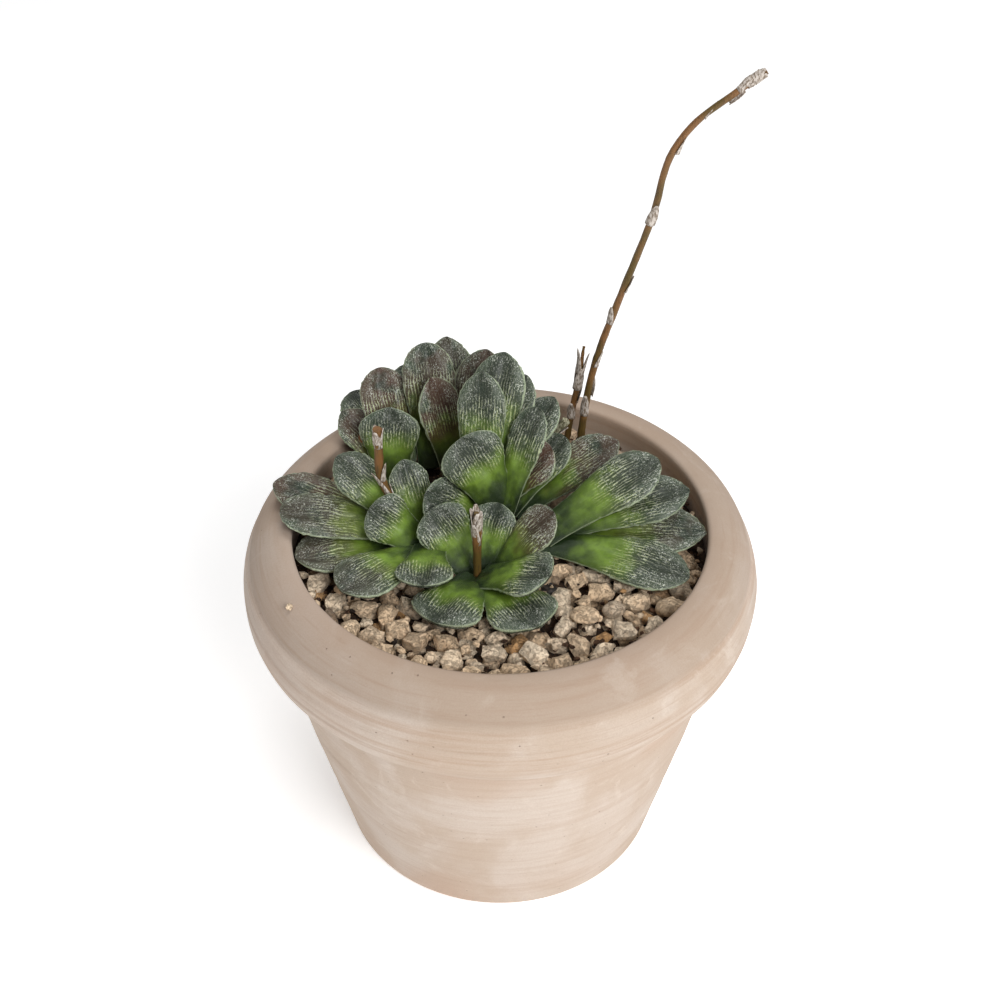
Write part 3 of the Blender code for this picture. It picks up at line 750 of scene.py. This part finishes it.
def rounded_copy(name, ending):
    """A copy of a plain piece with its faces joined up and rounded."""
    copy = bpy.data.objects.new(name + ending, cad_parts[name].data.copy())
    bpy.context.scene.collection.objects.link(copy)
    only(copy)
    bpy.ops.object.mode_set(mode="EDIT")
    bpy.ops.mesh.select_all(action="SELECT")
    bpy.ops.mesh.remove_doubles(threshold=0.000001)
    bpy.ops.mesh.tris_convert_to_quads()
    bpy.ops.object.mode_set(mode="OBJECT")
    rounder = copy.modifiers.new("rounder", "SUBSURF")
    rounder.levels = rounder.render_levels = 3
    bpy.ops.object.modifier_apply(modifier=rounder.name)
    copy.data.materials.clear()
    return copy


for name, (shade, paleness) in PEBBLES.items():
    pebble = rounded_copy(name, "_worn")
    for corner in pebble.data.vertices:
        bump = noise.noise(corner.co / MM * 0.35) * 0.35 + noise.noise(corner.co / MM * 1.2) * 0.1
        corner.co += corner.normal * (bump - 0.1) * MM
    note_down(pebble.data, "stone_kind", [(shade, paleness, 0.0)] * len(pebble.data.vertices))
    pebble.data.materials.append(stone)
    pebble.data.shade_smooth()
    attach(pebble, "root")
    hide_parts(name)


# ---------------------------------------------------------------- flower stalks
# Thin dry stalks that the flowers have fallen from: one tall, one short and three broken stumps.
# Small papery scales sit along them, and dead buds cluster at the tip of the tall one.
STALK_OLIVE, STALK_TAN, FIBRE_BROWN = colour(96, 76, 30), colour(132, 92, 52), colour(62, 44, 26)
STUB_PALE, STUB_DARK = colour(176, 172, 146), colour(92, 88, 62)
PAPER_PALE, PAPER_DARK = colour(216, 206, 196), colour(134, 118, 102)

straw, tree, shader = finish("dry_stalk", 0.55)
fibre = grain(tree, place(tree, (1, 1, 0.12)), 2.4, 3, 0.6)
patchy = grain(tree, place(tree), 0.12, 2, 0.5)
tone = blend(tree, between(tree, patchy, 0.35, 0.65), STALK_OLIVE, STALK_TAN)
tone = blend(tree, between(tree, fibre, 0.5, 0.7, 0, 0.6), tone, FIBRE_BROWN)
plug(tree, shader.inputs["Base Color"], tone)
plug(tree, shader.inputs["Normal"], relief(tree, fibre, 0.25, 0.8))

stub, tree, shader = finish("bleached_stub", 0.75)
fibre = grain(tree, place(tree, (1, 1, 0.3)), 2.2, 3, 0.6)
tone = blend(tree, between(tree, fibre, 0.38, 0.6), STUB_PALE, STUB_DARK)
plug(tree, shader.inputs["Base Color"], tone)
plug(tree, shader.inputs["Normal"], relief(tree, fibre, 0.35, 0.8))

paper, tree, shader = finish("papery_scale", 0.8)
veins = grain(tree, place(tree, (1, 1, 0.3)), 2.2, 3, 0.6)
tone = blend(tree, between(tree, veins, 0.4, 0.62), PAPER_PALE, PAPER_DARK)
plug(tree, shader.inputs["Base Color"], tone)
plug(tree, shader.inputs["Normal"], relief(tree, veins, 0.3, 0.7))

# Places along each stalk: x, y, z and thickness.
STALKS = {
    "flower_stalk_tall": [
        (23, 40, 95, 2.3), (24, 40, 112, 2.2), (26.5, 40, 130, 2.1), (31, 40, 147, 2.1),
        (39.5, 40, 176, 2.0), (45, 40, 198, 1.9), (61, 40, 214, 1.8), (65.0, 40, 217.2, 1.9)],
    "flower_stalk_short": [
        (19, 44, 95, 2.0), (21, 44, 112, 1.9), (22.4, 44, 122, 1.8), (23.5, 44, 133, 0.9)],
    "stalk_stump_left": [
        (-20.5, -1, 95, 2.2), (-28, 3, 109, 2.3), (-31.6, 4.8, 117, 2.5), (-32, 5, 127, 2.5),
        (-32, 5, 134, 2.6)],
    "stalk_stump_front": [
        (-6, -13.5, 95, 2.2), (-6, -13.7, 108, 2.3), (-6, -14, 115, 2.9), (-6, -14, 121.4, 1.3)],
    "stalk_stub_mid": [
        (7, 18, 96, 2.2), (9, 20, 100, 2.2), (12, 26, 112, 2.4), (18.3, 26, 120.8, 2.6)],
}
# Scales: share of the way up the stalk, turn around it in degrees, and length.
SCALES = {
    "flower_stalk_tall": [
        (0.13, -60, 6.5), (0.18, 120, 5), (0.26, 200, 4.4), (0.37, -30, 4.6), (0.45, 170, 4.4),
        (0.61, -80, 5.6), (0.77, 190, 4.6), (0.86, 20, 4.4), (0.91, 160, 4.2), (0.94, -20, 4.2)],
    "flower_stalk_short": [
        (0.35, -60, 5), (0.5, 150, 5), (0.62, -90, 7), (0.66, 60, 7), (0.72, 190, 7.5),
        (0.76, -20, 7.5)],
    "stalk_stump_left": [
        (0.3, -80, 6.5), (0.38, 150, 6), (0.5, -40, 6.5), (0.6, 200, 5), (0.86, -70, 5),
        (0.87, 60, 5), (0.87, 180, 5)],
    "stalk_stump_front": [
        (0.6, -60, 7), (0.66, 130, 7.5), (0.72, 220, 7), (0.74, 20, 7), (0.78, -100, 6),
        (0.8, 80, 6)],
    "stalk_stub_mid": [(0.55, -60, 7), (0.62, 120, 7), (0.66, 20, 6.5), (0.7, 200, 6.5)],
}
STALK_BEVEL, STALK_SHRINK = 0.5, 0.16
SCALE_STRETCH, SCALE_WIDTH, SCALE_THICKNESS = 1.15, 3.3, 0.16
BUDS, BUD_LENGTH, BUD_WIDTH = 6, 5.2, 3.0


def scale_piece(root, upwards, outwards, length, wide, name):
    """One thin pointed papery scale that hugs its stalk and stands off a little at its tip."""
    nothing_selected()
    bpy.ops.mesh.primitive_grid_add(x_subdivisions=6, y_subdivisions=8, size=1)
    sheet = bpy.context.object
    sheet.name = name
    sideways = upwards.cross(outwards).normalized()
    for corner in sheet.data.vertices:
        across, up = corner.co.x * 2, corner.co.y + 0.5
        half = wide / 2 * (1 - up ** 2.2) * (0.75 + 0.5 * up) + 0.05
        wrap = across * 1.5 * (1 - 0.75 * up)
        away = 1.12 + 0.42 * up ** 2 * length / 5 + 0.12 * noise.noise((across * 2, up * 3, length))
        off_stalk = outwards * away * math.cos(wrap)
        round_stalk = sideways * (away * math.sin(wrap) * 0.5 + across * half * 0.55)
        corner.co = (root + upwards * up * length + off_stalk + round_stalk) * MM
    thickness = sheet.modifiers.new("thickness", "SOLIDIFY")
    thickness.thickness = SCALE_THICKNESS * MM
    thickness.offset = 0
    only(sheet)
    bpy.ops.object.modifier_apply(modifier=thickness.name)
    sheet.data.materials.append(paper)
    sheet.data.shade_smooth()
    return sheet


def up_stalk(route, share):
    """The point and the direction a share of the way up a stalk."""
    points = [Vector(knot[:3]) for knot in route]
    gone = [0.0]
    for first, second in zip(points, points[1:]):
        gone.append(gone[-1] + (second - first).length)
    want = share * gone[-1]
    step = max(i for i in range(len(points) - 1) if gone[i] <= want)
    way = (points[step + 1] - points[step]).normalized()
    return points[step] + way * (want - gone[step]), way


def straight_out(way, turn):
    """The direction straight out of a stalk, at a turn around it in degrees."""
    level = way.cross(Vector((0, 1, 0))).normalized()
    other = level.cross(way).normalized()
    return level * math.cos(math.radians(turn)) + other * math.sin(math.radians(turn))


for name, route in STALKS.items():
    line = bpy.data.curves.new(name + "_dry", "CURVE")
    line.dimensions = "3D"
    line.bevel_depth = STALK_BEVEL * MM
    line.bevel_resolution = 4
    line.resolution_u = 10
    line.use_fill_caps = True
    spline = line.splines.new("BEZIER")
    spline.bezier_points.add(len(route) - 1)
    for knot, (x, y, z, thick) in zip(spline.bezier_points, route):
        knot.co = (x * MM, y * MM, z * MM)
        knot.radius = thick
        knot.handle_left_type = knot.handle_right_type = "AUTO"
    stalk = bpy.data.objects.new(name + "_dry", line)
    bpy.context.scene.collection.objects.link(stalk)
    only(stalk)
    bpy.ops.object.convert(target="MESH")
    stalk = bpy.context.object
    for corner in stalk.data.vertices:
        corner.co += corner.normal * STALK_SHRINK * MM * (noise.noise(corner.co / MM * 0.7) - 0.3)
    stalk.data.materials.clear()
    stalk.data.materials.append(stub if name == "stalk_stub_mid" else straw)
    stalk.data.shade_smooth()

    extras = []
    for number, (share, turn, length) in enumerate(SCALES[name]):
        root, way = up_stalk(route, share)
        extras.append(scale_piece(root, way, straight_out(way, turn), length * SCALE_STRETCH,
                                  SCALE_WIDTH, f"{name}_scale_{number}"))
    if name == "flower_stalk_tall":
        tip, way = up_stalk(route, 0.985)
        for number in range(BUDS):
            root = tip - way * (4.5 - 0.3 * number)
            outwards = straight_out(way, 60 * number + 20) * 0.9
            extras.append(scale_piece(root, way, outwards, BUD_LENGTH, BUD_WIDTH,
                                      f"{name}_bud_{number}"))
    nothing_selected()
    for extra in extras:
        extra.select_set(True)
    bpy.context.view_layer.objects.active = extras[0]
    bpy.ops.object.join()
    scales = bpy.context.object
    scales.name = name + "_scales"
    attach(stalk, "root")
    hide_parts(name)
    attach(scales, "root")


# ---------------------------------------------------------------- dead leaf
# One old leaf that has died and come off its crown. It has blackened, shrivelled and curled up,
# and lies loose on the gravel.
DEAD_BLACK, DEAD_BROWN = colour(22, 19, 18), colour(66, 56, 50)

black, tree, shader = finish("shrivelled_leaf", 0.6)
creases = grain(tree, place(tree), 0.8, 4, 0.6)
tone = blend(tree, between(tree, creases, 0.35, 0.7), DEAD_BLACK, DEAD_BROWN)
plug(tree, shader.inputs["Base Color"], tone)
plug(tree, shader.inputs["Normal"], relief(tree, creases, 0.6, 0.9))
withered = rounded_copy("dead_leaf", "_curled")
for corner in withered.data.vertices:
    corner.co += corner.normal * 0.5 * MM * (noise.noise(corner.co / MM * 0.6) - 0.2)
withered.data.materials.append(black)
withered.data.shade_smooth()
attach(withered, "root")
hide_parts("dead_leaf")


# ---------------------------------------------------------------- studio
# A white table top, two soft lamps over the front and the back, and pale light from all round.
# Places are in metres here. The camera looks down on the plant from in front.
LAMP_AIM = Vector((0, 0, 0.08))
CAMERA_AT, CAMERA_AIM = Vector((0, -0.3256, 0.389)), Vector((0, 0, 0.114))
TABLE_SIZE, TABLE_DROP = 30, 0.0002
TABLE_GLOW, ROOM_LIGHT = 0.42, 0.3

nothing_selected()
bpy.ops.mesh.primitive_plane_add(size=TABLE_SIZE, location=(0, 0, -TABLE_DROP))
table_top = bpy.context.object
table_top.name = "table_top"
bpy.ops.object.transform_apply(location=True)
white, tree, shader = finish("white_table", 0.9)
shader.inputs["Base Color"].default_value = (0.9, 0.9, 0.9, 1)
shader.inputs["Specular IOR Level"].default_value = 0.1
shader.inputs["Emission Color"].default_value = (1, 1, 1, 1)
shader.inputs["Emission Strength"].default_value = TABLE_GLOW
table_top.data.materials.append(white)

world = bpy.data.worlds.new("pale_room")
bpy.context.scene.world = world
world.use_nodes = True
room = world.node_tree.nodes["Background"]
room.inputs["Color"].default_value = (1.0, 1.0, 1.0, 1)
room.inputs["Strength"].default_value = ROOM_LIGHT


def lamp(name, place_at, size, power):
    """A square soft lamp that points at the middle of the pot."""
    light = bpy.data.lights.new(name, "AREA")
    light.size = size
    light.energy = power
    thing = bpy.data.objects.new(name, light)
    thing.location = place_at
    thing.rotation_euler = (LAMP_AIM - Vector(place_at)).to_track_quat("-Z", "Y").to_euler()
    bpy.context.scene.collection.objects.link(thing)


lamp("over_front", (0.42, -0.75, 0.8), 0.5, 8.6)
lamp("over_back", (0.1, 0.35, 1.2), 0.6, 4.5)

camera_data = bpy.data.cameras.new("camera")
camera_data.lens = 57.6
camera_data.sensor_width = 36
camera = bpy.data.objects.new("camera", camera_data)
camera.location = CAMERA_AT
camera.rotation_euler = (CAMERA_AIM - CAMERA_AT).to_track_quat("-Z", "Y").to_euler()
bpy.context.scene.collection.objects.link(camera)
bpy.context.scene.camera = camera
bpy.context.scene.view_settings.view_transform = "Standard"
